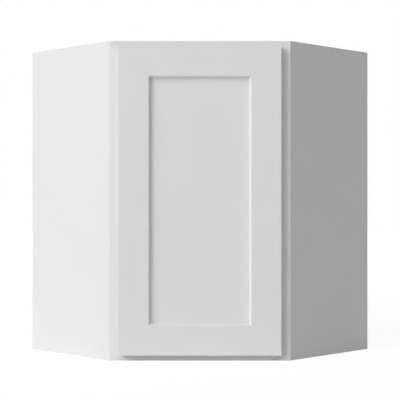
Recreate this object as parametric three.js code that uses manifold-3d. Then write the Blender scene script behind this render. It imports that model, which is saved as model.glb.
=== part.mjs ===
// A diagonal corner wall cabinet with one framed door, two lift-off shelves and two concealed hinges.
//
// Millimetres. X runs along the diagonal front, to the right of someone who faces the door. Y runs
// from the door to the corner of the room, and Z runs up. The cabinet's own frame puts y = 0 on the
// front of the face frame and z = 0 on its lower edge.
import * as THREE from 'three';
import { mergeVertices } from 'three/addons/utils/BufferGeometryUtils.js';
import Module from 'manifold-3d';

const wasm = await Module();
wasm.setup();

// ---- Overall sizes ----
const wallLength = 609.6; // along each wall, from the corner of the room
const endDepth = 304.8; // of each end panel, out from its wall
const cabinetHeight = 762;

// ---- Clearances ----
const jointGap = 0.3; // in glued and screwed joints, and where a piece rests on another
const weldDistance = 1e-4; // within which corners of a shape are one corner
const overcut = 1; // how far a cut runs past the face that it starts from
const runningGap = 0.25; // round the hinge pins
const shelfSideGap = 2; // round a lift-off shelf

// ---- Boards ----
const endThickness = 12.7;
const backThickness = 12.7;
const floorThickness = 12.7; // of the top and bottom panels
const shelfThickness = 19.05;
const hangingRailThickness = 19.05;
const hangingRailHeight = 76.2;
const dadoDepth = 6.35; // of the grooves cut across and along the end panels
const topInset = 12.7; // from the cabinet's upper edge to the top panel
const shelfSetback = 32; // from the back of the face frame to a shelf's front edge

// ---- Face frame ----
const frameThickness = 19.05;
const stileWidth = 38.1;
const frameRailWidth = 38.1;
const tenonLength = 24;
const tenonThickness = 6.5;
const tenonShoulder = 6; // at the upper and lower edge of a tenon

// ---- Door ----
const sideReveal = 22.8; // of the face frame, at each side of the door
const endReveal = 14.5; // of the face frame, above and below the door
const doorThickness = 19.05;
const doorGap = 3; // from the door's back to the face frame, set by the bumpers
const doorFlatWidth = 71.2; // of each stile and rail, up to the bevel
const bevelWidth = 4.4;
const bevelDepth = 8.3;
const panelRecess = 9.5; // from the front of the door to the panel's groove
const panelThickness = 5.5;
const panelGrooveDepth = 9.5;
const panelFloat = 1.5; // room for the panel to move at each edge
const bumperRadius = 4.5;
const bumperSeatShare = 0.35; // of a bumper's height, below its dome
const bumperInset = 13; // from the door's edges to a bumper's centre
const openAngle = 105; // degrees

// ---- Shelf pins ----
const pinRowSpacing = 32;
const pinRowCount = 13;
const lowestPinRow = 166;
const lowerShelfRow = 3;
const upperShelfRow = 10;
const pinHoleDepth = 9;
const pinStemRadius = 2.4;
const pinStemLength = 8;
const pinPlateThickness = 1.5;
const pinPlateDrop = 8; // below the stem's centre
const pinSeatRise = 3.2; // above the stem's centre
const pinSeatReach = 11;
const pinPlateWidth = 9;
const pinFillet = 2; // between the plate and the seat
const frontPinSetback = 76; // from an end panel's front edge
const rearPinOut = 75; // from the wall, on an end panel
const backPinAlong = 170; // from the corner of the room, on a back panel

// ---- Hinges, in the frame of the pivot pin ----
const hingeInset = 90; // from each end of the door to its hinge
const pivotInset = 7; // from the door's edge to the pin
const pivotDepth = 9; // from the door's back to the pin
const pivotRadius = 1;
const pivotLength = 14;
const cupHoleRadius = 17.5;
const cupEdgeDistance = 3; // from the door's edge to the cup's hole
const cupWall = 0.8;
const flangeLip = 1.3; // of the cup's rim past its outer wall
const flangeThickness = 1.1;
const wingWidth = 13;
const cupScrewSpacing = 45;
const cupScrewOffset = 9.5; // from the cup's centre, away from the door's edge
const knuckleWall = 0.85;
const armWidth = 9; // where it turns inside the cup
const armPlate = 1.5;
const armBendRadius = 2.2;
const armTailWidth = 13;
const armTailSetback = 1.5; // from the cup's rim to the start of the wider tail
const armTailLength = 27; // from the pin
const armSlotLength = 7;
const lugThickness = 1;
const lugReach = 3; // of a pin lug round the pin
const openClearance = 0.5; // from the arm to the back corner of the open door
const leastBaseThickness = 1.8;
const baseHeight = 31;
const baseInset = 1.2; // behind the face frame's front
const baseHook = 14; // behind the frame stile
const baseScrewSpacing = 21.6;
const baseScrewSetback = 10; // from the face frame's front
const springTurns = 2.5;
const springWire = 0.6;
const springPitch = 0.75;
const springLeg = 2.4;
const springRoom = 2.8; // width of the arm's notch for the spring
const springSlack = 0.1; // between the spring's turns and the arm's running room
const knuckleRoom = 0.4; // between the rolled arm and the cup's floor
const armRoom = 0.9; // each side of the arm, where it leaves the cup

// ---- Screws ----
const screwHeadRadius = 3.2;
const screwShankRadius = 1.5;
const baseScrewLength = 16;
const cupScrewLength = 12;
const adjusterHeadRadius = 3.6;
const adjusterHeadHeight = 2;
const adjusterChamfer = 0.75; // round its head
const adjusterShankRadius = 1.9;

// ---- Facets of round shapes ----
const cupSides = 40;
const smallSides = 12;
const pinHoleSides = 8;
const bendSteps = 5;

// ---- What follows from the sizes ----
const frontHalfWidth = (wallLength - endDepth) / Math.SQRT2;
const cornerY = (wallLength + endDepth) / Math.SQRT2; // the corner of the room
const endInner = wallLength - endThickness; // an end panel's inner face, along the wall
const backRear = hangingRailThickness + jointGap; // out from the wall
const backFront = backRear + backThickness;
const boardFront = frameThickness + jointGap; // where boards stop behind the face frame
const stileInnerEdge = frontHalfWidth - stileWidth;
const openingBottom = frameRailWidth;
const topUnderside = cabinetHeight - topInset - floorThickness;
const doorWidth = 2 * (frontHalfWidth - sideReveal);
const doorHeight = cabinetHeight - 2 * endReveal;
const doorLeft = -doorWidth / 2;
const doorBottom = endReveal;
const doorBack = -doorGap;
const doorFront = doorBack - doorThickness;
const doorMemberWidth = doorFlatWidth + bevelWidth;
const grooveWidth = panelThickness + 2 * jointGap;
const grooveBottom = doorMemberWidth - panelGrooveDepth; // in from the door's edge
const knuckleRadius = pivotRadius + runningGap + knuckleWall;
const cupRadius = cupHoleRadius - jointGap;
const cupInnerRadius = cupRadius - cupWall;
const cupCentre = cupEdgeDistance + cupHoleRadius - pivotInset; // from the pin
const cupFloor = -(knuckleRadius + knuckleRoom); // from the pin
const flangeRear = pivotDepth + jointGap;
const flangeFront = flangeRear + flangeThickness;
const frameFromPin = pivotDepth + doorGap;
const stileEdgeFromPin = doorWidth / 2 - pivotInset - stileInnerEdge;
const baseNear = stileEdgeFromPin + jointGap;
const openAngleRadians = THREE.MathUtils.degToRad(openAngle);
const openCorner = pivotDepth * Math.sin(openAngleRadians) - pivotInset * Math.cos(openAngleRadians);
const legNear = Math.max(baseNear + leastBaseThickness + jointGap, openCorner + openClearance);
const baseFar = legNear - jointGap;
const baseThickness = baseFar - baseNear;
const legFar = legNear + armPlate;
const baseScrewFromPin = frameFromPin + baseScrewSetback;
const pinHoleRadius = pinStemRadius + jointGap;
const overallDepth = cornerY - doorFront;

// ---- Materials ----
function finish(color, roughness, metalness) {
  return new THREE.MeshStandardMaterial({ color, roughness, metalness });
}
const whitePaint = () => finish(0xf1f1ef, 0.45, 0);
const paleWood = () => finish(0xdcc39a, 0.6, 0);
const nickel = () => finish(0xb9b8b4, 0.3, 0.9);
const springSteel = () => finish(0x8f9092, 0.35, 0.9);
const clearRubber = () => finish(0xdfe3e2, 0.4, 0);

// ---- Shapes ----
function outlineShape(points) {
  return new THREE.Shape(points.map(([x, y]) => new THREE.Vector2(x, y)));
}

// An outline in plan, raised from one height to another.
function uprightPrism(shape, bottom, top, steps = bendSteps) {
  const depth = top - bottom;
  const solid = new THREE.ExtrudeGeometry(shape, { depth, bevelEnabled: false, curveSegments: steps });
  return solid.translate(0, 0, bottom);
}

// A profile in Y and Z, run along X.
function alongX(shape, from, to) {
  const run = new THREE.ExtrudeGeometry(shape, { depth: to - from, bevelEnabled: false });
  const turn = new THREE.Matrix4().makeBasis(
    new THREE.Vector3(0, 1, 0),
    new THREE.Vector3(0, 0, 1),
    new THREE.Vector3(1, 0, 0),
  );
  return run.applyMatrix4(turn).translate(from, 0, 0);
}

// An outline in X and Z, run along Y.
function alongY(shape, from, to, steps = bendSteps) {
  const depth = to - from;
  const run = new THREE.ExtrudeGeometry(shape, { depth, bevelEnabled: false, curveSegments: steps });
  return run.rotateX(Math.PI / 2).translate(0, to, 0);
}

function box(from, to) {
  const size = to.map((value, axis) => value - from[axis]);
  const centre = to.map((value, axis) => (value + from[axis]) / 2);
  return new THREE.BoxGeometry(...size).translate(...centre);
}

// A turned shape: its profile is [radius, distance along the axis], and the axis points as given.
function turned(profile, start, direction, sides = smallSides) {
  const points = profile.map(([radius, distance]) => new THREE.Vector2(radius, distance));
  const solid = new THREE.LatheGeometry(points, sides);
  const turn = new THREE.Quaternion().setFromUnitVectors(
    new THREE.Vector3(0, 1, 0),
    new THREE.Vector3(...direction),
  );
  return solid.applyQuaternion(turn).translate(...start);
}

function rod(radius, length, start, direction, sides = smallSides) {
  return turned([[0, 0], [radius, 0], [radius, length], [0, length]], start, direction, sides);
}

// ---- Joining and cutting ----
function toSolid(geometry) {
  const bare = geometry.clone();
  bare.deleteAttribute('normal');
  bare.deleteAttribute('uv');
  const welded = mergeVertices(bare, weldDistance);
  const vertProperties = new Float32Array(welded.attributes.position.array);
  const triVerts = new Uint32Array(welded.index.array);
  return new wasm.Manifold(new wasm.Mesh({ numProp: 3, vertProperties, triVerts }));
}

function toGeometry(solid) {
  const { vertProperties, triVerts } = solid.getMesh();
  const geometry = new THREE.BufferGeometry();
  geometry.setAttribute('position', new THREE.BufferAttribute(new Float32Array(vertProperties), 3));
  geometry.setIndex(new THREE.BufferAttribute(new Uint32Array(triVerts), 1));
  geometry.computeVertexNormals();
  return geometry;
}

function cut(base, ...tools) {
  return toGeometry(tools.reduce((solid, tool) => solid.subtract(toSolid(tool)), toSolid(base)));
}

function join(base, ...others) {
  return toGeometry(others.reduce((solid, other) => solid.add(toSolid(other)), toSolid(base)));
}

function addPiece(group, name, geometry, material) {
  const mesh = new THREE.Mesh(geometry, material);
  mesh.name = name;
  group.add(mesh);
  return mesh;
}

// ---- The plan ----
const sides = { left: -1, right: 1 };

// A point in plan, from its distance along a wall from the corner and its distance out from it.
function planPoint(side, along, out) {
  return [(side * (along - out)) / Math.SQRT2, cornerY - (along + out) / Math.SQRT2];
}

// How far out from the wall a board at this distance along it meets a plane across the front.
function outAtFront(along, planeY) {
  return Math.SQRT2 * (cornerY - planeY) - along;
}

function planShape(side, points) {
  return outlineShape(points.map(([along, out]) => planPoint(side, along, out)));
}

function wallDirections(side) {
  const along = [side / Math.SQRT2, -1 / Math.SQRT2, 0];
  const out = [-side / Math.SQRT2, -1 / Math.SQRT2, 0];
  return { along, out };
}

function reversed(direction) {
  return direction.map((value) => -value);
}

function pinRowHeight(row) {
  return lowestPinRow + row * pinRowSpacing;
}

const pinRowHeights = Array.from({ length: pinRowCount }, (_, row) => pinRowHeight(row));

// Where shelf pins enter the walls: a place in plan and the direction into the cabinet.
function pinPlaces(side) {
  const { along, out } = wallDirections(side);
  const frontOut = outAtFront(endInner, boardFront) - frontPinSetback;
  return {
    front: { point: planPoint(side, endInner, frontOut), inward: reversed(along) },
    rear: { point: planPoint(side, endInner, rearPinOut), inward: reversed(along) },
    back: { point: planPoint(side, backPinAlong, backFront), inward: out },
  };
}

function pinHoles(place) {
  return pinRowHeights.map((height) => {
    const inward = new THREE.Vector3(...place.inward);
    const mouth = new THREE.Vector3(...place.point, height).addScaledVector(inward, overcut).toArray();
    return rod(pinHoleRadius, pinHoleDepth + overcut, mouth, reversed(place.inward), pinHoleSides);
  });
}

// ---- Carcass ----
function endPanel(side) {
  const grooveRear = backRear - jointGap;
  const grooveFront = backFront + jointGap;
  const grooveEnd = endInner + dadoDepth;
  const panel = planShape(side, [
    [wallLength, 0],
    [wallLength, outAtFront(wallLength, boardFront)],
    [endInner, outAtFront(endInner, boardFront)],
    [endInner, grooveFront],
    [grooveEnd, grooveFront],
    [grooveEnd, grooveRear],
    [endInner, grooveRear],
    [endInner, 0],
  ]);
  const dado = planShape(side, [
    [endInner - overcut, grooveRear],
    [grooveEnd, grooveRear],
    [grooveEnd, outAtFront(grooveEnd, boardFront - overcut)],
    [endInner - overcut, outAtFront(endInner - overcut, boardFront - overcut)],
  ]);
  const dadoes = [openingBottom - floorThickness, topUnderside].map((underside) =>
    uprightPrism(dado, underside - jointGap, underside + floorThickness + jointGap),
  );
  const { front, rear } = pinPlaces(side);
  return cut(uprightPrism(panel, 0, cabinetHeight), ...dadoes, ...pinHoles(front), ...pinHoles(rear));
}

// The left back panel runs into the corner, and the right one stops against its face.
function backPanel(side) {
  const cornerEnd = side === sides.left ? backRear : backFront + jointGap;
  const grooveTip = endInner + dadoDepth - jointGap;
  const panel = planShape(side, [
    [cornerEnd, backRear],
    [grooveTip, backRear],
    [grooveTip, backFront],
    [cornerEnd, backFront],
  ]);
  return cut(uprightPrism(panel, 0, cabinetHeight), ...pinHoles(pinPlaces(side).back));
}

function hangingRail(side) {
  const cornerEnd = side === sides.left ? 0 : hangingRailThickness + jointGap;
  const farEnd = endInner - jointGap;
  const rail = planShape(side, [
    [cornerEnd, 0],
    [farEnd, 0],
    [farEnd, hangingRailThickness],
    [cornerEnd, hangingRailThickness],
  ]);
  return uprightPrism(rail, 0, hangingRailHeight);
}

// A five-sided board that fills the plan between the walls and a plane across the front.
function fiveSidedBoard(endAlong, backOut, frontY, thickness) {
  const corners = [
    [endAlong, backOut],
    [endAlong, outAtFront(endAlong, frontY)],
  ];
  const right = corners.map(([along, out]) => planPoint(sides.right, along, out));
  const left = corners.map(([along, out]) => planPoint(sides.left, along, out));
  const rear = planPoint(sides.right, backOut, backOut);
  return uprightPrism(outlineShape([rear, ...left, ...right.reverse()]), 0, thickness);
}

function buildCarcass() {
  const carcass = new THREE.Group();
  const boardTip = endInner + dadoDepth - jointGap;
  const boardRear = backFront + jointGap;
  for (const [name, side] of Object.entries(sides)) {
    addPiece(carcass, `end_panel_${name}`, endPanel(side), whitePaint());
    addPiece(carcass, `back_panel_${name}`, backPanel(side), paleWood());
    const lower = addPiece(carcass, `hanging_rail_lower_${name}`, hangingRail(side), paleWood());
    const upper = addPiece(carcass, `hanging_rail_upper_${name}`, hangingRail(side), paleWood());
    lower.position.z = 0;
    upper.position.z = cabinetHeight - hangingRailHeight;
  }
  const heights = { bottom_panel: openingBottom - floorThickness, top_panel: topUnderside };
  for (const [name, height] of Object.entries(heights)) {
    const board = fiveSidedBoard(boardTip, boardRear, boardFront, floorThickness);
    addPiece(carcass, name, board, paleWood()).position.z = height;
  }
  return carcass;
}

// ---- Face frame ----
const railHeights = { bottom: 0, top: cabinetHeight - frameRailWidth };
const tenonMiddle = frameThickness / 2;

// A tenon, or with room added the mortise that it fits.
function tenon(side, railBottom, room) {
  const ends = [side * (stileInnerEdge - overcut), side * (stileInnerEdge + tenonLength + room)];
  const halfThickness = tenonThickness / 2 + room;
  return box(
    [Math.min(...ends), tenonMiddle - halfThickness, railBottom + tenonShoulder - room],
    [Math.max(...ends), tenonMiddle + halfThickness, railBottom + frameRailWidth - tenonShoulder + room],
  );
}

function frameStile(side) {
  const outline = outlineShape([
    [side * stileInnerEdge, 0],
    [side * frontHalfWidth, 0],
    [side * (frontHalfWidth + frameThickness), frameThickness],
    [side * stileInnerEdge, frameThickness],
  ]);
  const mortises = Object.values(railHeights).map((bottom) => tenon(side, bottom, jointGap));
  const screwHoles = side === sides.left ? hingeHeights().flatMap(baseScrewHoles) : [];
  return cut(uprightPrism(outline, 0, cabinetHeight), ...mortises, ...screwHoles);
}

function frameRail(railBottom) {
  const shoulder = stileInnerEdge - jointGap;
  const rail = box(
    [-shoulder, 0, railBottom],
    [shoulder, frameThickness, railBottom + frameRailWidth],
  );
  return join(rail, tenon(sides.left, railBottom, 0), tenon(sides.right, railBottom, 0));
}

function buildFaceFrame() {
  const frame = new THREE.Group();
  for (const [name, side] of Object.entries(sides)) {
    addPiece(frame, `frame_stile_${name}`, frameStile(side), whitePaint());
  }
  for (const [name, railBottom] of Object.entries(railHeights)) {
    addPiece(frame, `frame_rail_${name}`, frameRail(railBottom), whitePaint());
  }
  return frame;
}

// ---- Shelves ----
const shelfRows = { lower: lowerShelfRow, upper: upperShelfRow };

function shelfUnderside(row) {
  return pinRowHeight(row) + pinSeatRise + jointGap;
}

function buildShelf(name, row) {
  const shelf = new THREE.Group();
  const endAlong = endInner - shelfSideGap;
  const frontY = frameThickness + shelfSetback;
  const board = fiveSidedBoard(endAlong, backFront + shelfSideGap, frontY, shelfThickness);
  addPiece(shelf, `shelf_${name}`, board, paleWood());
  shelf.position.z = shelfUnderside(row);
  return shelf;
}

// A stem in the wall, a plate against the wall and a seat under the shelf, pointing along X.
function shelfPin() {
  const stemFront = jointGap + pinPlateThickness / 2;
  const stem = rod(pinStemRadius, pinStemLength + stemFront, [stemFront, 0, 0], [-1, 0, 0], pinHoleSides);
  const wallFace = jointGap;
  const plateFace = jointGap + pinPlateThickness;
  const profile = outlineShape([
    [wallFace, -pinPlateDrop],
    [plateFace, -pinPlateDrop],
    [plateFace, pinSeatRise - pinPlateThickness - pinFillet],
    [plateFace + pinFillet, pinSeatRise - pinPlateThickness],
    [pinSeatReach, pinSeatRise - pinPlateThickness],
    [pinSeatReach, pinSeatRise],
    [wallFace, pinSeatRise],
  ]);
  return join(alongY(profile, -pinPlateWidth / 2, pinPlateWidth / 2), stem);
}

function buildShelfPins() {
  const pins = new THREE.Group();
  for (const [shelfName, row] of Object.entries(shelfRows)) {
    for (const [sideName, side] of Object.entries(sides)) {
      for (const [placeName, place] of Object.entries(pinPlaces(side))) {
        const name = `shelf_pin_${shelfName}_${sideName}_${placeName}`;
        const pin = addPiece(pins, name, shelfPin(), nickel());
        pin.position.set(...place.point, pinRowHeight(row));
        pin.rotation.z = Math.atan2(place.inward[1], place.inward[0]);
      }
    }
  }
  return pins;
}

// ---- Door ----
// Half of a door member's section: x is in from its outer edge, y is back from the door's front.
// Grown by a clearance, it is the shape that the end of a rail is cut to fit.
function memberSection(grow = 0, outside = 0) {
  const inner = doorMemberWidth + grow;
  const grooveFront = panelRecess + grow;
  const grooveRear = panelRecess + grooveWidth - grow;
  return [
    [-outside, -outside],
    [doorFlatWidth + grow, -outside],
    [doorFlatWidth + grow, 0],
    [inner, bevelDepth],
    [inner, grooveFront],
    [grooveBottom, grooveFront],
    [grooveBottom, grooveRear],
    [inner, grooveRear],
    [inner, doorThickness + outside],
    [-outside, doorThickness + outside],
  ];
}

function plainSection() {
  return memberSection().slice(1).concat([[0, 0]]);
}

function doorStileShape(side, section) {
  return outlineShape(section.map(([across, back]) => [side * (doorWidth / 2 - across), doorFront + back]));
}

function doorStile(side) {
  const stile = uprightPrism(doorStileShape(side, plainSection()), doorBottom, doorBottom + doorHeight);
  const bores = side === sides.left ? hingeHeights().flatMap(hingeBores) : [];
  return cut(stile, ...bores);
}

function doorRail(end) {
  const middle = cabinetHeight / 2;
  const profile = plainSection().map(([across, back]) => [
    doorFront + back,
    middle + end * (doorHeight / 2 - across),
  ]);
  const reach = doorWidth / 2 - grooveBottom - jointGap;
  const rail = alongX(outlineShape(profile), -reach, reach);
  const cope = memberSection(jointGap, overcut);
  const stiles = Object.values(sides).map((side) =>
    uprightPrism(doorStileShape(side, cope), doorBottom - overcut, doorBottom + doorHeight + overcut),
  );
  return cut(rail, ...stiles);
}

function doorPanel() {
  const halfWidth = doorWidth / 2 - grooveBottom - panelFloat;
  const edge = grooveBottom + panelFloat;
  const face = doorFront + panelRecess + jointGap;
  return box(
    [-halfWidth, face, doorBottom + edge],
    [halfWidth, face + panelThickness, doorBottom + doorHeight - edge],
  );
}

// A soft dome that the closed door rests on.
function bumper(height) {
  const rise = doorGap - 2 * jointGap;
  const seat = rise * bumperSeatShare;
  const crown = new THREE.EllipseCurve(0, seat, bumperRadius, rise - seat, 0, Math.PI / 2);
  const dome = crown.getPoints(bendSteps).map(({ x, y }) => [Math.abs(x) < weldDistance ? 0 : x, y]);
  const profile = [[0, 0], [bumperRadius, 0], ...dome];
  const start = [doorWidth / 2 - bumperInset, doorBack + jointGap, height];
  return turned(profile, start, [0, 1, 0], 2 * smallSides);
}

function buildDoor() {
  const door = new THREE.Group();
  addPiece(door, 'door_stile_hinge_side', doorStile(sides.left), whitePaint());
  addPiece(door, 'door_stile_latch_side', doorStile(sides.right), whitePaint());
  addPiece(door, 'door_rail_bottom', doorRail(-1), whitePaint());
  addPiece(door, 'door_rail_top', doorRail(1), whitePaint());
  addPiece(door, 'door_panel', doorPanel(), whitePaint());
  addPiece(door, 'door_bumper_lower', bumper(doorBottom + bumperInset), clearRubber());
  addPiece(door, 'door_bumper_upper', bumper(doorBottom + doorHeight - bumperInset), clearRubber());
  return door;
}

// ---- Hinges ----
function hingeHeights() {
  return [doorBottom + hingeInset, doorBottom + doorHeight - hingeInset];
}

function pivotPoint(height) {
  return [doorLeft + pivotInset, doorBack - pivotDepth, height];
}

function besidePin([x, y, z], height) {
  const [pinX, pinY] = pivotPoint(height);
  return [pinX + x, pinY + y, height + z];
}

// The cup's hole and its screws' holes in the door's stile.
function hingeBores(height) {
  const floor = cupFloor - cupWall - jointGap;
  const hole = rod(
    cupHoleRadius,
    pivotDepth - floor + overcut,
    besidePin([cupCentre, floor, 0], height),
    [0, 1, 0],
    cupSides,
  );
  const depth = cupScrewLength - flangeThickness;
  const screwHoles = cupScrewPlaces().map(([x, z]) => {
    const end = besidePin([x, pivotDepth - depth, z], height);
    return rod(screwShankRadius + jointGap, depth + overcut, end, [0, 1, 0]);
  });
  return [hole, ...screwHoles];
}

function baseScrewHoles(height) {
  return [-1, 1].map((end) => {
    const mouth = [stileEdgeFromPin + overcut, baseScrewFromPin, (end * baseScrewSpacing) / 2];
    const depth = baseScrewLength + overcut;
    return rod(screwShankRadius + jointGap, depth, besidePin(mouth, height), [-1, 0, 0]);
  });
}

function cupScrewPlaces() {
  return [-1, 1].map((end) => [cupCentre + cupScrewOffset, (end * cupScrewSpacing) / 2]);
}

// A screw with a sunk head: the head's face is at the start and the point lies along the direction.
function sunkScrew(length, start, direction) {
  const headDepth = screwHeadRadius - screwShankRadius;
  const profile = [
    [0, 0],
    [screwHeadRadius, 0],
    [screwShankRadius, headDepth],
    [screwShankRadius, length - 2 * screwShankRadius],
    [0, length],
  ];
  return turned(profile, start, direction);
}

// The sunk seat of that screw through a plate, with room all round.
function screwSeat(start, direction, plate) {
  const hole = screwShankRadius + jointGap;
  const profile = [
    [0, -overcut],
    [screwHeadRadius + jointGap + overcut, -overcut],
    [hole, screwHeadRadius - screwShankRadius],
    [hole, plate + overcut],
    [0, plate + overcut],
  ];
  return turned(profile, start, direction);
}

// A pressed cup with a rim, two screw wings, two lugs for the pin and a notch where the arm passes.
function hingeCup() {
  const outerFloor = cupFloor - cupWall;
  const corner = cupWall;
  const shell = turned(
    [
      [0, outerFloor],
      [cupRadius - corner, outerFloor],
      [cupRadius, outerFloor + corner],
      [cupRadius, flangeRear],
      [cupRadius + flangeLip, flangeRear],
      [cupRadius + flangeLip, flangeFront],
      [cupInnerRadius, flangeFront],
      [cupInnerRadius, cupFloor],
      [0, cupFloor],
    ],
    [cupCentre, 0, 0],
    [0, 1, 0],
    cupSides,
  );
  const wingX = cupCentre + cupScrewOffset;
  const wingHalf = wingWidth / 2;
  const wingShape = new THREE.Shape();
  wingShape.absarc(wingX, cupScrewSpacing / 2, wingHalf, 0, Math.PI, false);
  wingShape.absarc(wingX, -cupScrewSpacing / 2, wingHalf, Math.PI, 2 * Math.PI, false);
  const wings = alongY(wingShape, flangeRear, flangeFront, smallSides / 2);
  const inside = rod(cupInnerRadius, 2 * flangeFront, [cupCentre, cupFloor, 0], [0, 1, 0], cupSides);
  const seats = cupScrewPlaces().map(([x, z]) => screwSeat([x, flangeFront, z], [0, -1, 0], flangeThickness));
  const notchHalf = armWidth / 2 + armRoom;
  const notch = box(
    [cupCentre - cupRadius - flangeLip - overcut, flangeRear, -notchHalf],
    [cupCentre - cupInnerRadius + overcut, flangeFront + overcut, notchHalf],
  );
  const lugs = [-1, 1].map((end) => pinLug(end));
  const pinHole = rod(pivotRadius + runningGap, pivotLength, [0, 0, -pivotLength / 2], [0, 0, 1]);
  const body = cut(join(shell, cut(wings, inside)), ...seats, notch);
  return cut(join(body, ...lugs), pinHole);
}

// A lug stands on the cup's floor beside the arm and holds one end of the pin.
function pinLug(end) {
  const near = armWidth / 2 + 2 * runningGap;
  const heights = [end * near, end * (near + lugThickness)];
  const lug = new THREE.Shape();
  lug.moveTo(-knuckleRadius + runningGap, cupFloor - cupWall / 2);
  lug.lineTo(lugReach, cupFloor - cupWall / 2);
  lug.lineTo(lugReach, 0);
  lug.lineTo(knuckleRadius / 2, knuckleRadius);
  lug.lineTo(-knuckleRadius + runningGap, knuckleRadius);
  lug.closePath();
  return uprightPrism(lug, Math.min(...heights), Math.max(...heights));
}

// One strip of steel: rolled round the pin, out of the cup round a bend, and back along the base.
function hingeArm() {
  const plateFace = armPlate - knuckleRadius;
  const meet = Math.sqrt(knuckleRadius ** 2 - plateFace ** 2);
  const insideBend = armBendRadius - armPlate;
  const strip = new THREE.Shape();
  strip.moveTo(0, -knuckleRadius);
  strip.lineTo(legFar - armBendRadius, -knuckleRadius);
  strip.absarc(legFar - armBendRadius, armBendRadius - knuckleRadius, armBendRadius, -Math.PI / 2, 0, false);
  strip.lineTo(legFar, armTailLength);
  strip.lineTo(legNear, armTailLength);
  strip.lineTo(legNear, plateFace + insideBend);
  strip.absarc(legNear - insideBend, plateFace + insideBend, insideBend, 0, -Math.PI / 2, true);
  strip.lineTo(meet, plateFace);
  strip.absarc(0, 0, knuckleRadius, Math.atan2(plateFace, meet), 1.5 * Math.PI, false);
  const bore = new THREE.Path();
  bore.absarc(0, 0, pivotRadius + runningGap, 0, 2 * Math.PI, true);
  strip.holes.push(bore);
  const rolled = uprightPrism(strip, -armWidth / 2, armWidth / 2, smallSides);
  const tail = box(
    [legNear, flangeFront + armTailSetback, -armTailWidth / 2],
    [legFar, armTailLength, armTailWidth / 2],
  );
  const springNotch = box(
    [-2 * knuckleRadius, -2 * knuckleRadius, -springRoom / 2],
    [springLeg + springWire, 2 * knuckleRadius, springRoom / 2],
  );
  const slotHalf = adjusterShankRadius + jointGap;
  const slot = new THREE.Shape();
  slot.absarc(baseScrewFromPin - (armSlotLength / 2 - slotHalf), 0, slotHalf, Math.PI / 2, 1.5 * Math.PI, false);
  slot.absarc(baseScrewFromPin + (armSlotLength / 2 - slotHalf), 0, slotHalf, -Math.PI / 2, Math.PI / 2, false);
  return cut(join(rolled, tail), springNotch, alongX(slot, legNear - overcut, legFar + overcut));
}

// A plate on the inner edge of the frame stile, with a hook behind it.
function hingeBase() {
  const hookFront = frameFromPin + frameThickness + jointGap;
  const bend = baseThickness / 2;
  const outline = outlineShape([
    [baseNear, frameFromPin + baseInset],
    [baseFar, frameFromPin + baseInset],
    [baseFar, hookFront + bend],
    [baseFar - bend, hookFront + baseThickness],
    [baseNear - baseHook, hookFront + baseThickness],
    [baseNear - baseHook, hookFront],
    [baseNear, hookFront],
  ]);
  const plate = uprightPrism(outline, -baseHeight / 2, baseHeight / 2);
  const seats = [-1, 1].map((end) =>
    screwSeat([baseFar, baseScrewFromPin, (end * baseScrewSpacing) / 2], [-1, 0, 0], baseThickness),
  );
  const threadStart = [baseFar + overcut, baseScrewFromPin, 0];
  const thread = rod(adjusterShankRadius + jointGap, baseThickness + 2 * overcut, threadStart, [-1, 0, 0]);
  return cut(plate, ...seats, thread);
}

// A wire wound round the pin between the two knuckles, with a short straight leg at each end.
class SpringPath extends THREE.Curve {
  constructor() {
    super();
    this.radius = pivotRadius + runningGap + springSlack + springWire / 2;
    this.start = new THREE.Vector3(-this.radius, springLeg, (-springTurns * springPitch) / 2);
  }

  getPoint(fraction, target = new THREE.Vector3()) {
    const turnLength = springTurns * 2 * Math.PI * this.radius;
    const distance = fraction * (turnLength + 2 * springLeg);
    const wound = Math.min(Math.max(distance - springLeg, 0), turnLength);
    const angle = Math.PI + wound / this.radius;
    const height = this.start.z + (wound / turnLength) * springTurns * springPitch;
    target.set(this.radius * Math.cos(angle), this.radius * Math.sin(angle), height);
    const before = Math.max(springLeg - distance, 0);
    const after = Math.max(distance - springLeg - turnLength, 0);
    target.x += -Math.sin(angle) * (after - before);
    target.y += Math.cos(angle) * (after - before);
    return target;
  }
}

function hingeSpring() {
  const wire = new THREE.Shape();
  wire.absarc(0, 0, springWire / 2, 0, 2 * Math.PI, false);
  return new THREE.ExtrudeGeometry(wire, {
    extrudePath: new SpringPath(),
    steps: 28,
    curveSegments: 5,
    bevelEnabled: false,
  });
}

function adjustingScrew() {
  const seat = legFar + jointGap;
  const profile = [
    [0, -adjusterHeadHeight],
    [adjusterHeadRadius - adjusterChamfer, -adjusterHeadHeight],
    [adjusterHeadRadius, adjusterChamfer - adjusterHeadHeight],
    [adjusterHeadRadius, 0],
    [adjusterShankRadius, 0],
    [adjusterShankRadius, seat - baseNear],
    [0, seat - baseNear],
  ];
  return turned(profile, [seat, baseScrewFromPin, 0], [-1, 0, 0]);
}

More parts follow.
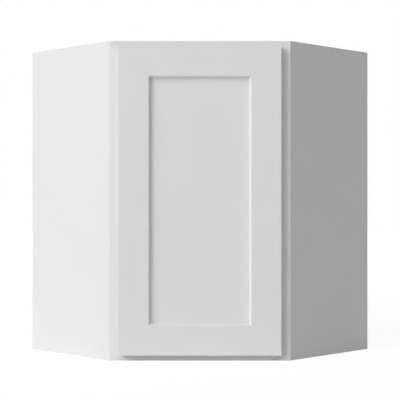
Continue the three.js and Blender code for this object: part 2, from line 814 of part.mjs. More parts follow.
function buildHinge(name, height) {
  const hinge = new THREE.Group();
  addPiece(hinge, `hinge_${name}_cup`, hingeCup(), nickel());
  addPiece(hinge, `hinge_${name}_pin`, rod(pivotRadius, pivotLength, [0, 0, -pivotLength / 2], [0, 0, 1]), nickel());
  addPiece(hinge, `hinge_${name}_spring`, hingeSpring(), springSteel());
  addPiece(hinge, `hinge_${name}_arm`, hingeArm(), nickel());
  addPiece(hinge, `hinge_${name}_base`, hingeBase(), nickel());
  addPiece(hinge, `hinge_${name}_adjusting_screw`, adjustingScrew(), nickel());
  const ends = { lower: -1, upper: 1 };
  for (const [endName, end] of Object.entries(ends)) {
    const baseStart = [baseFar, baseScrewFromPin, (end * baseScrewSpacing) / 2];
    const baseScrew = sunkScrew(baseScrewLength, baseStart, [-1, 0, 0]);
    addPiece(hinge, `hinge_${name}_base_screw_${endName}`, baseScrew, nickel());
    const cupStart = [cupCentre + cupScrewOffset, flangeFront, (end * cupScrewSpacing) / 2];
    const cupScrew = sunkScrew(cupScrewLength, cupStart, [0, -1, 0]);
    addPiece(hinge, `hinge_${name}_cup_screw_${endName}`, cupScrew, nickel());
  }
  hinge.position.set(...pivotPoint(height));
  return hinge;
}

// ---- The whole cabinet, with the middle of its depth on the origin ----
const cabinet = new THREE.Group();
cabinet.add(buildCarcass(), buildFaceFrame(), buildShelfPins());
for (const [name, row] of Object.entries(shelfRows)) {
  cabinet.add(buildShelf(name, row));
}
cabinet.add(buildDoor());
const [lowerHinge, upperHinge] = hingeHeights();
cabinet.add(buildHinge('lower', lowerHinge), buildHinge('upper', upperHinge));
cabinet.position.y = -overallDepth / 2 - doorFront;

const part = new THREE.Group();
part.add(cabinet);

export default part;
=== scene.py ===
"""Dresses a diagonal corner wall cabinet and stands it in a white studio.

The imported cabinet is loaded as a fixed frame. Each operator makes one piece or one group of like
pieces around it, in metres: X to the right of someone who faces the door, Y towards the corner of
the room, and Z up.
"""

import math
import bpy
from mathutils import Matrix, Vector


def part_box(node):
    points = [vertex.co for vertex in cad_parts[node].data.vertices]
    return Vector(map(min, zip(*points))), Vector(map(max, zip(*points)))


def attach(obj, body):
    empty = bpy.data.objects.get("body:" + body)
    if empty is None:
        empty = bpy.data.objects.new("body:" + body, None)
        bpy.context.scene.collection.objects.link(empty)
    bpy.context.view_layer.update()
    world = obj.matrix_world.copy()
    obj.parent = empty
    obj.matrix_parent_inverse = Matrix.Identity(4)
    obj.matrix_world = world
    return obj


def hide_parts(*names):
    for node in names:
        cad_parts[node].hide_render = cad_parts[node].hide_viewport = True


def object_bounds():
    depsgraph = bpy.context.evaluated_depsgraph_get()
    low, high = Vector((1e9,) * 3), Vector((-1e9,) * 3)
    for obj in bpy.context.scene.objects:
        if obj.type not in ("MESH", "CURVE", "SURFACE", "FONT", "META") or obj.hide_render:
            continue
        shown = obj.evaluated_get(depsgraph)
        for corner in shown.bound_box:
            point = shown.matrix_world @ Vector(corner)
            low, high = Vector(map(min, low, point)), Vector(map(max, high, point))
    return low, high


bl_info = {
    "name": "Corner Wall Cabinet",
    "version": (1, 0, 0),
    "blender": (4, 5, 0),
    "location": "View3D > Sidebar > Cabinet",
    "description": "Paint, plywood, joinery and hardware for a diagonal corner wall cabinet",
    "category": "Object",
}

import bmesh
import bpy
from bpy.props import FloatProperty, FloatVectorProperty, IntProperty, PointerProperty
from bpy.types import Operator, Panel, PropertyGroup
from mathutils import Matrix, Vector

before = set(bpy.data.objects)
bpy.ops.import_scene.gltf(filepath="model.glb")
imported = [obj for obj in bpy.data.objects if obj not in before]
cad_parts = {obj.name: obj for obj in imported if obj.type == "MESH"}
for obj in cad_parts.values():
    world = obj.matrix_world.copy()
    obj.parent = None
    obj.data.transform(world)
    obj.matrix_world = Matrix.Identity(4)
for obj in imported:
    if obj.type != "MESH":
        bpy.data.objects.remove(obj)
CAD_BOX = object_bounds()

MM = 0.001
ROOT_TWO = math.sqrt(2)
LEFT, RIGHT = -1, 1
SIDE_NAMES = {LEFT: "left", RIGHT: "right"}

# What the frame's solids keep to, and the pieces made here fit.
JOINT_GAP = 0.3 * MM  # between two solids that touch
OVERCUT = 1 * MM  # how far a cut runs past the face that it starts from
PIN_SEAT_RISE = 3.2 * MM  # from a shelf pin's stem to its seat
CUP_FLANGE_RADIUS = 18.5 * MM
INTO_FRAME, INTO_DOOR = Vector((-1, 0, 0)), Vector((0, -1, 0))  # the ways that hinge screws point

# How finely round shapes are made, and the turn above which an edge stays sharp.
SCREW_SIDES, HOLE_SIDES, BORE_SIDES = 36, 20, 64
SHARP_TURN = math.radians(50)
SAME_CORNER = 0.001 * MM  # within which a frame node's split corners are one


# ---------------------------------------------------------------- settings


def length(name, description, default_mm):
    """A size that a user would change, in metres."""
    return FloatProperty(
        name=name, description=description, default=default_mm * MM, min=0, subtype="DISTANCE", precision=5
    )


def colour(name, description, default):
    """A linear colour that a user would change."""
    return FloatVectorProperty(
        name=name, description=description, default=default, min=0, max=1, size=3, subtype="COLOR"
    )


def bearing(name, description, default_degrees):
    """A direction that a user would change, in radians."""
    return FloatProperty(
        name=name, description=description, default=math.radians(default_degrees), subtype="ANGLE"
    )


def lamp_power(name, description, default):
    """The power of a lamp, in watts."""
    return FloatProperty(name=name, description=description, default=default, min=0, unit="POWER")


class CABINET_PG_joinery(PropertyGroup):
    """Sizes of the cabinet's edges, joints and bored holes."""

    eased_edge: length("Eased edge", "Radius that every outer painted edge is sanded to", 0.6)
    ply_edge: length("Plywood edge", "Radius that the edges of the plywood boards are sanded to", 0.35)
    joint_line: length("Joint line", "Width left in a glued joint", 0.02)
    tenon_thickness: length("Tenon thickness", "Thickness of the tenons on the face frame's rails", 6.5)
    tenon_shoulder: length("Tenon shoulder", "From a frame rail's edges to its tenons' edges", 6)
    flat_width: length("Flat width", "Width of the flat face of a door stile or rail", 71.2)
    bevel_width: length("Bevel width", "Width of the bevel round the door panel", 4.4)
    bevel_depth: length("Bevel depth", "Depth of the bevel round the door panel", 8.3)
    panel_recess: length("Panel recess", "Depth from the door's front to the panel's groove", 9.5)
    groove_width: length("Groove width", "Width of the panel's groove", 6.1)
    groove_depth: length("Groove depth", "Depth of the panel's groove", 9.5)
    dado_depth: length("Dado depth", "Depth of the grooves in the end panels", 6.35)
    pin_hole_radius: length("Pin hole radius", "Radius of the holes for the shelf pins", 2.7)
    pin_hole_depth: length("Pin hole depth", "Depth of the holes for the shelf pins", 9)
    pin_row_spacing: length("Pin row spacing", "Distance between two rows of holes", 32)
    pin_row_count: IntProperty(name="Pin rows", description="Number of rows of holes", default=13, min=1)
    pins_under_lower_shelf: IntProperty(
        name="Rows under the lower shelf",
        description="Rows of holes below the lower shelf's pins",
        default=3,
    )
    cup_bore_radius: length("Cup bore radius", "Radius of the hole bored for a hinge cup", 17.5)


class CABINET_PG_hardware(PropertyGroup):
    """Sizes of the screws and of the rounding on metal pieces."""

    metal_edge: length("Metal edge", "Radius of the edges of pressed metal", 0.2)
    screw_head_radius: length("Screw head radius", "Radius of a sunk screw's head", 3.2)
    screw_shank_radius: length("Screw shank radius", "Radius of a sunk screw's shank", 1.5)
    screw_rim: length("Screw rim", "Depth of the worn rim of a sunk head", 0.15)
    adjuster_head_radius: length("Adjuster head radius", "Radius of an adjusting screw's head", 3.6)
    adjuster_head_height: length("Adjuster head height", "Height of an adjusting screw's head", 2)
    adjuster_shank_radius: length("Adjuster shank radius", "Radius of an adjusting screw's shank", 1.9)
    adjuster_chamfer: length("Adjuster chamfer", "Chamfer round an adjusting screw's head", 0.6)
    recess_reach: length("Recess reach", "From a screw's axis to the end of its cross recess", 1.9)
    recess_width: length("Recess width", "Width of a cross recess at its mouth", 0.85)
    recess_depth: length("Recess depth", "Depth of a cross recess", 1.5)


class CABINET_PG_finishes(PropertyGroup):
    """Colours of the paint, the wood and the metal."""

    paint: colour("Paint", "White satin paint", (0.835, 0.835, 0.835))
    birch_light: colour("Light wood", "Pale wood between the grain lines", (0.80, 0.665, 0.475))
    birch_dark: colour("Dark wood", "Grain lines of the pale wood", (0.665, 0.50, 0.325))
    ply_dark: colour("Cross ply", "End grain of every other ply", (0.46, 0.31, 0.185))
    nickel: colour("Nickel", "Nickel plate on the hinges and pins", (0.66, 0.645, 0.62))
    spring_steel: colour("Spring steel", "Bare steel of the hinge springs", (0.42, 0.42, 0.43))
    bumper: colour("Bumper", "Clear soft plastic of the door bumpers", (0.86, 0.88, 0.87))


class CABINET_PG_studio(PropertyGroup):
    """Camera and lamps."""

    camera_distance: length("Camera distance", "From the face frame's front to the camera", 2717.8)
    lens: FloatProperty(
        name="Lens", description="Focal length in millimetres", default=102.6, unit="CAMERA"
    )
    shift_up: FloatProperty(name="Shift", description="Vertical shift of the lens", default=0.0019)
    key_azimuth: bearing("Key azimuth", "How far left of the door the key lamp stands", 49.5)
    key_elevation: bearing("Key elevation", "How high the key lamp stands", 24)
    key_distance: length("Lamp distance", "From the cabinet's middle to each lamp", 18000)
    key_width: length("Key width", "Width of the key lamp", 12800)
    key_height: length("Key height", "Height of the key lamp", 8800)
    key_power: lamp_power("Key power", "Power of the key lamp", 2135)
    top_elevation: bearing("Top elevation", "How high the lamp overhead stands", 60)
    top_power: lamp_power("Top power", "Power of the lamp overhead", 736)
    back_azimuth: bearing("Back azimuth", "How far left of the door the lamp behind stands", 165)
    back_elevation: bearing("Back elevation", "How high the lamp behind stands", 32)
    back_power: lamp_power("Back power", "Power of the lamp behind", 940)
    room_light: FloatProperty(
        name="Room light", description="Strength of the light from all round", default=0.053
    )
    floor_glow: FloatProperty(
        name="Floor glow", description="Strength of the floor's white, as the camera sees it", default=1.08
    )
    floor_whiteness: FloatProperty(
        name="Floor whiteness", description="Share of white in the floor near the cabinet", default=0.84
    )


def joinery():
    return bpy.context.scene.cabinet_joinery


def hardware():
    return bpy.context.scene.cabinet_hardware


def finishes():
    return bpy.context.scene.cabinet_finishes


def studio():
    return bpy.context.scene.cabinet_studio


# ---------------------------------------------------------------- the plan


class Plan:
    """The cabinet's plan, read from the frame: two walls at right angles and a front across them."""

    def __init__(self):
        stile_low, stile_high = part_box("frame_stile_right")
        end_low, end_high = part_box("end_panel_right")
        self.front = stile_low.y
        self.frame_thickness = stile_high.y - stile_low.y
        self.front_half = stile_high.x - self.frame_thickness
        self.wall = end_high.x * ROOT_TWO
        self.corner = self.front + self.wall * ROOT_TWO - self.front_half
        self.stile_inner = stile_low.x
        self.bottom, self.top = stile_low.z, stile_high.z
        front_gap = end_low.y - self.front
        self.end_inner = (end_low.x + self.corner - self.front - front_gap) / ROOT_TWO
        self.end_thickness = self.wall - self.end_inner

    def point(self, side, along, out):
        """A point in plan, from its distance along a wall and its distance out from it."""
        return (side * (along - out) / ROOT_TWO, self.corner - (along + out) / ROOT_TWO)

    def out_at(self, along, plane_y):
        """How far out from the wall a board at this distance along it meets a plane across."""
        return ROOT_TWO * (self.corner - plane_y) - along

    def along(self, side):
        """The direction along a wall, away from the corner."""
        return Vector((side / ROOT_TWO, -1 / ROOT_TWO, 0))

    def out(self, side):
        """The direction out from a wall, into the cabinet."""
        return Vector((-side / ROOT_TWO, -1 / ROOT_TWO, 0))


PLAN = Plan()


# ---------------------------------------------------------------- shapes

PLANES = {
    "plan": lambda a, b, c: (a, b, c),
    "front": lambda a, b, c: (a, c, b),
    "side": lambda a, b, c: (c, a, b),
}


def finish_mesh(name, bm):
    """A new object from a mesh under construction, with its faces turned outwards."""
    bmesh.ops.recalc_face_normals(bm, faces=bm.faces)
    mesh = bpy.data.meshes.new(name)
    bm.to_mesh(mesh)
    bm.free()
    piece = bpy.data.objects.new(name, mesh)
    bpy.context.scene.collection.objects.link(piece)
    return piece


def prism(name, outline, low, high, plane="plan"):
    """An outline in one plane, carried between two distances square to it."""
    bm = bmesh.new()
    place = PLANES[plane]
    near = [bm.verts.new(place(a, b, low)) for a, b in outline]
    far = [bm.verts.new(place(a, b, high)) for a, b in outline]
    bm.faces.new(near)
    bm.faces.new(far)
    for here in range(len(outline)):
        after = (here + 1) % len(outline)
        bm.faces.new((near[here], near[after], far[after], far[here]))
    return finish_mesh(name, bm)


def rounded(outline, radius, least_turn=50, steps=4):
    """An outline, anticlockwise, with an arc at each outward corner that turns by more than an angle."""
    corners = [Vector(corner) for corner in outline]
    path = []
    for before, corner, after in zip(corners[-1:] + corners[:-1], corners, corners[1:] + corners[:1]):
        arriving, leaving = (corner - before).normalized(), (after - corner).normalized()
        turn = math.atan2(arriving.x * leaving.y - arriving.y * leaving.x, arriving.dot(leaving))
        if turn < math.radians(least_turn):
            path.append(tuple(corner))
            continue
        start = corner - arriving * radius * math.tan(turn / 2)
        middle = start + Vector((-arriving.y, arriving.x)) * radius
        spokes = (Matrix.Rotation(turn * step / steps, 2) @ (start - middle) for step in range(steps + 1))
        path += [tuple(middle + spoke) for spoke in spokes]
    return path


def turned(name, profile, start, direction, sides):
    """A profile of (radius, distance) turned round an axis that leaves start in a direction."""
    bm = bmesh.new()
    lean = Vector((0, 0, 1)).rotation_difference(Vector(direction)).to_matrix().to_4x4()
    place = Matrix.Translation(Vector(start)) @ lean
    rings = []
    for radius, distance in profile:
        if radius < 1e-9:
            rings.append([bm.verts.new(place @ Vector((0, 0, distance)))])
            continue
        angles = [2 * math.pi * step / sides for step in range(sides)]
        rings.append([
            bm.verts.new(place @ Vector((radius * math.cos(turn), radius * math.sin(turn), distance)))
            for turn in angles
        ])
    for ring, following in zip(rings, rings[1:]):
        for step in range(sides):
            after = (step + 1) % sides
            corners = [ring[step % len(ring)], ring[after % len(ring)]]
            corners += [following[after % len(following)], following[step % len(following)]]
            unique = list(dict.fromkeys(corners))
            if len(unique) > 2:
                bm.faces.new(unique)
    return finish_mesh(name, bm)


def rod(name, radius, reach, start, direction, sides):
    """A plain round bar."""
    return turned(name, [(0, 0), (radius, 0), (radius, reach), (0, reach)], start, direction, sides)


def settle(piece):
    """Makes a piece's modifiers part of its mesh."""
    bpy.context.view_layer.update()
    graph = bpy.context.evaluated_depsgraph_get()
    shaped = bpy.data.meshes.new_from_object(piece.evaluated_get(graph))
    plain = piece.data
    piece.modifiers.clear()
    piece.data = shaped
    bpy.data.meshes.remove(plain)
    shaped.name = piece.name


def carve(piece, tools, operation="DIFFERENCE"):
    """Cuts tools out of a piece, or joins them to it, and removes the tools."""
    for tool in tools:
        step = piece.modifiers.new("carve", "BOOLEAN")
        step.operation = operation
        step.solver = "EXACT"
        step.object = tool
    settle(piece)
    for tool in tools:
        bpy.data.objects.remove(tool)


def ease(piece, radius, segments=3, angle=40):
    """Rounds the edges of a piece as sanding does."""
    step = piece.modifiers.new("eased edges", "BEVEL")
    step.width = radius
    step.segments = segments
    step.limit_method = "ANGLE"
    step.angle_limit = math.radians(angle)
    step.miter_outer = "MITER_ARC"
    return step


def sand(piece, radius, segments=3, angle=40):
    """Rounds a new piece's outward edges, and leaves the inner corners of its grooves square."""
    bm = bmesh.new()
    bm.from_mesh(piece.data)
    weight = bm.edges.layers.float.new("bevel_weight_edge")
    for edge in bm.edges:
        edge[weight] = float(edge.is_convex and edge.calc_face_angle() > math.radians(angle))
    bm.to_mesh(piece.data)
    bm.free()
    ease(piece, radius, segments).limit_method = "WEIGHT"
    settle(piece)


def smooth(piece, angle=35):
    """Shades round faces smooth and keeps flat faces flat."""
    piece.data.shade_smooth()
    piece.data.set_sharp_from_angle(angle=math.radians(angle))
    step = piece.modifiers.new("flat faces stay flat", "WEIGHTED_NORMAL")
    step.keep_sharp = True
    step.weight = 50


def fit(piece, body, node, material):
    """Puts a finished piece in the place of its node."""
    piece.name = piece.data.name = f"{node}_finished"
    piece.data.materials.clear()
    piece.data.materials.append(material)
    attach(piece, body)
    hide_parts(node)


def sharp_edge_nodes():
    """A node group that shades a mesh smooth, but for the edges that turn sharply."""
    name = "smooth round faces"
    group = bpy.data.node_groups.get(name)
    if group is not None:
        return group
    group = bpy.data.node_groups.new(name, "GeometryNodeTree")
    for way in ("INPUT", "OUTPUT"):
        group.interface.new_socket("Geometry", in_out=way, socket_type="NodeSocketGeometry")
    nodes, links = group.nodes, group.links
    start, end = nodes.new("NodeGroupInput"), nodes.new("NodeGroupOutput")
    faces, edges = nodes.new("GeometryNodeSetShadeSmooth"), nodes.new("GeometryNodeSetShadeSmooth")
    edges.domain = "EDGE"
    edges.inputs["Shade Smooth"].default_value = False
    turn = nodes.new("GeometryNodeInputMeshEdgeAngle")
    sharp = nodes.new("FunctionNodeCompare")
    sharp.operation = "GREATER_THAN"
    sharp.inputs["B"].default_value = SHARP_TURN
    links.new(start.outputs[0], faces.inputs["Geometry"])
    links.new(faces.outputs[0], edges.inputs["Geometry"])
    links.new(turn.outputs["Unsigned Angle"], sharp.inputs["A"])
    links.new(sharp.outputs[0], edges.inputs["Selection"])
    links.new(edges.outputs[0], end.inputs[0])
    return group


def dress(node, material, radius, segments=2):
    """Gives a node that keeps its own shape its material, eases its edges and smooths its round faces."""
    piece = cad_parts[node]
    piece.data.materials.clear()
    piece.data.materials.append(material)
    joined = piece.modifiers.new("joined corners", "WELD")
    joined.merge_threshold = SAME_CORNER
    whole = piece.modifiers.new("whole flat faces", "DECIMATE")
    whole.decimate_type = "DISSOLVE"
    whole.angle_limit = math.radians(0.5)
    ease(piece, radius, segments, 50)
    shade = piece.modifiers.new("smooth round faces", "NODES")
    shade.node_group = sharp_edge_nodes()
    step = piece.modifiers.new("flat faces stay flat", "WEIGHTED_NORMAL")
    step.keep_sharp = True


# ---------------------------------------------------------------- materials


class Recipe:
    """Builds one material's nodes."""

    def __init__(self, name):
        self.material = bpy.data.materials.new(name)
        self.material.use_nodes = True
        self.tree = self.material.node_tree
        self.shader = self.tree.nodes["Principled BSDF"]
        self.place = self.add("ShaderNodeTexCoord").outputs["Object"]

    def add(self, kind, inputs=None, **settings):
        node = self.tree.nodes.new(kind)
        for name, value in settings.items():
            setattr(node, name, value)
        for name, value in (inputs or {}).items():
            if isinstance(value, bpy.types.NodeSocket):
                self.tree.links.new(value, node.inputs[name])
            else:
                node.inputs[name].default_value = value
        return node

    def math(self, operation, first, second=0.0):
        return self.add("ShaderNodeMath", {0: first, 1: second}, operation=operation).outputs[0]

    def dot(self, vector, direction):
        inputs = {0: vector, 1: tuple(direction)}
        return self.add("ShaderNodeVectorMath", inputs, operation="DOT_PRODUCT").outputs["Value"]

    def stretched(self, along, across, through):
        inputs = {"X": along, "Y": across, "Z": through}
        return self.add("ShaderNodeCombineXYZ", inputs).outputs[0]

    def noise(self, vector, scale, detail=2.0, roughness=0.5):
        inputs = {"Vector": vector, "Scale": scale, "Detail": detail, "Roughness": roughness}
        return self.add("ShaderNodeTexNoise", inputs).outputs["Fac"]

    def range(self, value, low, high, new_low, new_high):
        inputs = {"Value": value, "From Min": low, "From Max": high, "To Min": new_low, "To Max": new_high}
        return self.add("ShaderNodeMapRange", inputs).outputs["Result"]

    def blend(self, factor, first, second):
        node = self.add("ShaderNodeMix", data_type="RGBA", clamp_factor=True)
        for socket, value in ((0, factor), (6, first), (7, second)):
            if isinstance(value, bpy.types.NodeSocket):
                self.tree.links.new(value, node.inputs[socket])
            elif socket == 0:
                node.inputs[socket].default_value = value
            else:
                node.inputs[socket].default_value = (*value, 1)
        return node.outputs[2]

    def bump(self, height, depth, strength=1.0):
        inputs = {"Height": height, "Distance": depth, "Strength": strength}
        self.set("Normal", self.add("ShaderNodeBump", inputs).outputs[0])

    def set(self, socket, value):
        if isinstance(value, bpy.types.NodeSocket):
            self.tree.links.new(value, self.shader.inputs[socket])
        else:
            self.shader.inputs[socket].default_value = value


def darker(tint, share):
    return tuple(channel * share for channel in tint)


def satin_paint(name):
    """Sprayed white satin paint: an even film with a faint mottle and a fine orange-peel surface."""
    recipe = Recipe(name)
    paint = tuple(finishes().paint)
    mottle = recipe.noise(recipe.place, 9, detail=3)
    speck = recipe.noise(recipe.place, 420, detail=2)
    shade = recipe.blend(recipe.range(mottle, 0.3, 0.7, 0, 1), darker(paint, 0.988), paint)
    specks = recipe.range(speck, 0.62, 0.8, 0, 0.25)
    recipe.set("Base Color", recipe.blend(specks, shade, darker(paint, 0.975)))
    recipe.set("Roughness", recipe.range(mottle, 0.3, 0.7, 0.40, 0.47))
    peel = recipe.noise(recipe.place, 650, detail=1.5)
    recipe.bump(peel, 0.00004, 0.35)
    return recipe.material


def plywood(name, grain, through, low, thickness, banded=None, plies=9):
    """Lacquered pale plywood: grain on the faces and the banded edge, and plies on other edges."""
    recipe = Recipe(name)
    grain, through = Vector(grain).normalized(), Vector(through).normalized()
    across = through.cross(grain)
    along = recipe.dot(recipe.place, grain)
    side = recipe.dot(recipe.place, across + through)
    depth = recipe.dot(recipe.place, through)
    wander = recipe.noise(
        recipe.stretched(recipe.math("MULTIPLY", along, 1.6), recipe.math("MULTIPLY", side, 5), 0), 1, 3
    )
    bent = recipe.math("ADD", recipe.math("MULTIPLY", side, 26), recipe.math("MULTIPLY", wander, 7))
    figure = recipe.noise(recipe.stretched(recipe.math("MULTIPLY", along, 1.2), bent, 0), 1.0, 4, 0.6)
    pores = recipe.noise(
        recipe.stretched(recipe.math("MULTIPLY", along, 26), recipe.math("MULTIPLY", side, 620), 0), 1, 2
    )
    light, dark = tuple(finishes().birch_light), tuple(finishes().birch_dark)
    face = recipe.blend(recipe.range(figure, 0.38, 0.66, 0, 0.85), light, dark)
    face = recipe.blend(recipe.range(pores, 0.58, 0.8, 0, 0.35), face, darker(dark, 0.8))
    layer = recipe.math("MULTIPLY", recipe.math("SUBTRACT", depth, low), plies / thickness)
    turn = recipe.math("PINGPONG", layer, 1)
    fibre = recipe.noise(
        recipe.stretched(recipe.math("MULTIPLY", along, 90), side, recipe.math("MULTIPLY", depth, 900)),
        1,
        3,
    )
    end_grain = recipe.blend(fibre, darker(light, 0.92), darker(dark, 1.02))
    stacked = recipe.blend(recipe.range(turn, 0.44, 0.56, 0, 0.75), end_grain, tuple(finishes().ply_dark))
    normal = recipe.tree.nodes.new("ShaderNodeTexCoord").outputs["Normal"]
    facing = recipe.math("ABSOLUTE", recipe.dot(normal, through))
    on_edge = recipe.range(facing, 0.45, 0.75, 1, 0)
    if banded is not None:
        bare = recipe.range(recipe.dot(normal, banded), 0.45, 0.75, 1, 0)
        on_edge = recipe.math("MULTIPLY", on_edge, bare)
    recipe.set("Base Color", recipe.blend(on_edge, face, stacked))
    recipe.set("Roughness", recipe.range(figure, 0.3, 0.7, 0.42, 0.55))
    recipe.bump(recipe.math("ADD", pores, recipe.math("MULTIPLY", figure, 0.4)), 0.00006, 0.5)
    return recipe.material


def plated(name, tint, roughness):
    """Bright plated steel, a little uneven in tint and gloss, with the shallow waves of the press."""
    recipe = Recipe(name)
    cloud = recipe.noise(recipe.place, 110, detail=3, roughness=0.55)
    wave = recipe.noise(recipe.place, 240, detail=1)
    tint = tuple(tint)
    clouds = recipe.range(cloud, 0.35, 0.7, 0, 1)
    recipe.set("Base Color", recipe.blend(clouds, tint, darker(tint, 0.97)))
    recipe.set("Metallic", 1.0)
    recipe.set("Roughness", recipe.range(cloud, 0.3, 0.7, roughness, roughness + 0.03))
    recipe.bump(wave, 0.00003, 0.15)
    return recipe.material


def soft_clear(name):
    """Clear soft plastic, slightly milky."""
    recipe = Recipe(name)
    tint = tuple(finishes().bumper)
    milk = recipe.noise(recipe.place, 260, detail=2)
    recipe.set("Base Color", recipe.blend(milk, tint, darker(tint, 0.93)))
    recipe.set("Roughness", 0.22)
    recipe.set("Transmission Weight", 0.55)
    recipe.set("IOR", 1.48)
    return recipe.material


MATERIALS = {}


def shared(name, make, *details):
    """A material that several pieces have in common, made the first time it is asked for."""
    if name not in MATERIALS:
        MATERIALS[name] = make(name, *details)
    return MATERIALS[name]


def white_paint():
    return shared("white_satin_paint", satin_paint)


def nickel():
    return shared("nickel_plate", plated, finishes().nickel, 0.24)


def board_plywood(node, grain, through, low, thickness, banded=None):
    return shared(f"plywood_{node}", plywood, grain, through, low, thickness, banded)


# ---------------------------------------------------------------- pieces of the carcass


def pin_holes(side, place_point, inward):
    """Cutters for one column of shelf pin holes."""
    sizes = joinery()
    pin_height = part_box("shelf_pin_lower_right_front")[1].z - PIN_SEAT_RISE
    lowest = pin_height - sizes.pins_under_lower_shelf * sizes.pin_row_spacing
    reach = sizes.pin_hole_depth + OVERCUT
    cutters = []
    for row in range(sizes.pin_row_count):
        mouth = Vector((*place_point, lowest + row * sizes.pin_row_spacing)) + inward * OVERCUT
        name = f"pin_hole_{side}_{row}"
        cutters.append(rod(name, sizes.pin_hole_radius, reach, mouth, -inward, HOLE_SIDES))
    return cutters


def pin_mouth(node, side):
    """Where a shelf pin enters an end panel, in plan, and the direction out of its hole."""
    low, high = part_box(node)
    middle = (low + high) / 2
    inward = -PLAN.along(side)
    face = Vector((*PLAN.point(side, PLAN.end_inner, 0), 0))
    mouth = middle - inward * (middle - face).dot(inward)
    return (mouth.x, mouth.y), inward


def hinge_screws(plate):
    """The screws through the hinges' bases or cups."""
    ends = ("lower", "upper")
    return [f"hinge_{level}_{plate}_screw_{end}" for level in ends for end in ends]


def back_front():
    """How far out from its wall the front of a back panel stands."""
    return (PLAN.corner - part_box("bottom_panel")[1].y) / ROOT_TWO - JOINT_GAP


def rail_reach():
    """How far out from its wall a hanging rail reaches."""
    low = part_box("hanging_rail_upper_right")[0]
    return (PLAN.corner - low.y) * ROOT_TWO - (PLAN.end_inner - JOINT_GAP)


def end_panel(side):
    """A painted end: bored for shelf pins, grooved for the back and dadoed for top and bottom."""
    sizes = joinery()
    name = f"end_panel_{SIDE_NAMES[side]}"
    groove_rear = rail_reach()
    groove_front = back_front() + JOINT_GAP
    groove_end = PLAN.end_inner + sizes.dado_depth
    front = PLAN.front + PLAN.frame_thickness + sizes.joint_line
    outline = [
        (PLAN.wall, 0),
        (PLAN.wall, PLAN.out_at(PLAN.wall, front)),
        (PLAN.end_inner, PLAN.out_at(PLAN.end_inner, front)),
        (PLAN.end_inner, groove_front),
        (groove_end, groove_front),
        (groove_end, groove_rear),
        (PLAN.end_inner, groove_rear),
        (PLAN.end_inner, 0),
    ]
    panel = prism(name, [PLAN.point(side, *corner) for corner in outline], PLAN.bottom, PLAN.top)
    sand(panel, sizes.ply_edge, 2)
    cutters = []
    dado_end = groove_end - sizes.joint_line  # a hair short of the groove, which it runs into
    dado_rear = (groove_rear + groove_front) / 2
    for board in ("bottom_panel", "top_panel"):
        low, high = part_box(board)
        dado = [
            (PLAN.end_inner - OVERCUT, dado_rear),
            (dado_end, dado_rear),
            (dado_end, PLAN.out_at(dado_end, front - OVERCUT)),
            (PLAN.end_inner - OVERCUT, PLAN.out_at(PLAN.end_inner - OVERCUT, front - OVERCUT)),
        ]
        corners = [PLAN.point(side, *corner) for corner in dado]
        cutters.append(prism(f"dado_{board}", corners, low.z - JOINT_GAP, high.z + JOINT_GAP))
    for place in ("front", "rear"):
        mouth, inward = pin_mouth(f"shelf_pin_lower_{SIDE_NAMES[side]}_{place}", side)
        cutters += pin_holes(place, mouth, inward)
    carve(panel, cutters)
    grain = Vector((0, 0, 1))
    through = PLAN.along(side)
    low = Vector((*PLAN.point(side, PLAN.end_inner, 0), 0)).dot(through)
    ply = board_plywood(name, grain, through, low, PLAN.end_thickness)
    fit(panel, "cabinet", name, white_paint())
    panel.data.materials.append(ply)
    for face in panel.data.polygons:
        face.material_index = 0 if face.normal.dot(through) > 0.5 else 1
    smooth(panel)


class CABINET_OT_end_panels(Operator):
    """Makes the two painted end panels"""

    bl_idname = "cabinet.end_panels"
    bl_label = "End panels"

    def execute(self, context):
        end_panel(LEFT)
        end_panel(RIGHT)
        return {"FINISHED"}


class CABINET_OT_plywood_boards(Operator):
    """Finishes the top, the bottom, the backs and the hanging rails in plywood"""

    bl_idname = "cabinet.plywood_boards"
    bl_label = "Plywood boards"

    def execute(self, context):
        for node in ("top_panel", "bottom_panel"):
            low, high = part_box(node)
            ply = board_plywood(node, (1, 0, 0), (0, 0, 1), low.z, high.z - low.z)
            dress(node, ply, joinery().ply_edge)
        for side, name in SIDE_NAMES.items():
            through = PLAN.out(side)
            face = back_front()
            wall = Vector((*PLAN.point(side, 0, 0), 0)).dot(through)
            rail = rail_reach()
            back = f"back_panel_{name}"
            low, thickness = wall + rail + JOINT_GAP, face - rail - JOINT_GAP
            ply = board_plywood(back, (0, 0, 1), through, low, thickness)
            dress(back, ply, joinery().ply_edge)
            for level in ("lower", "upper"):
                node = f"hanging_rail_{level}_{name}"
                ply = board_plywood(node, PLAN.along(side), through, wall, rail)
                dress(node, ply, joinery().ply_edge)
        return {"FINISHED"}


class CABINET_OT_shelves(Operator):
    """Finishes the two lift-off shelves in plywood"""

    bl_idname = "cabinet.shelves"
    bl_label = "Shelves"

    def execute(self, context):
        for node in ("shelf_lower", "shelf_upper"):
            low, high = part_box(node)
            ply = board_plywood(node, (1, 0, 0), (0, 0, 1), low.z, high.z - low.z, (0, -1, 0))
            dress(node, ply, 3 * joinery().ply_edge, 3)
        return {"FINISHED"}


class CABINET_OT_shelf_pins(Operator):
    """Finishes the shelf pins in nickel plate"""

    bl_idname = "cabinet.shelf_pins"
    bl_label = "Shelf pins"

    def execute(self, context):
        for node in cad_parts:
            if node.startswith("shelf_pin"):
                dress(node, nickel(), 1.5 * hardware().metal_edge)
        return {"FINISHED"}


# ---------------------------------------------------------------- face frame


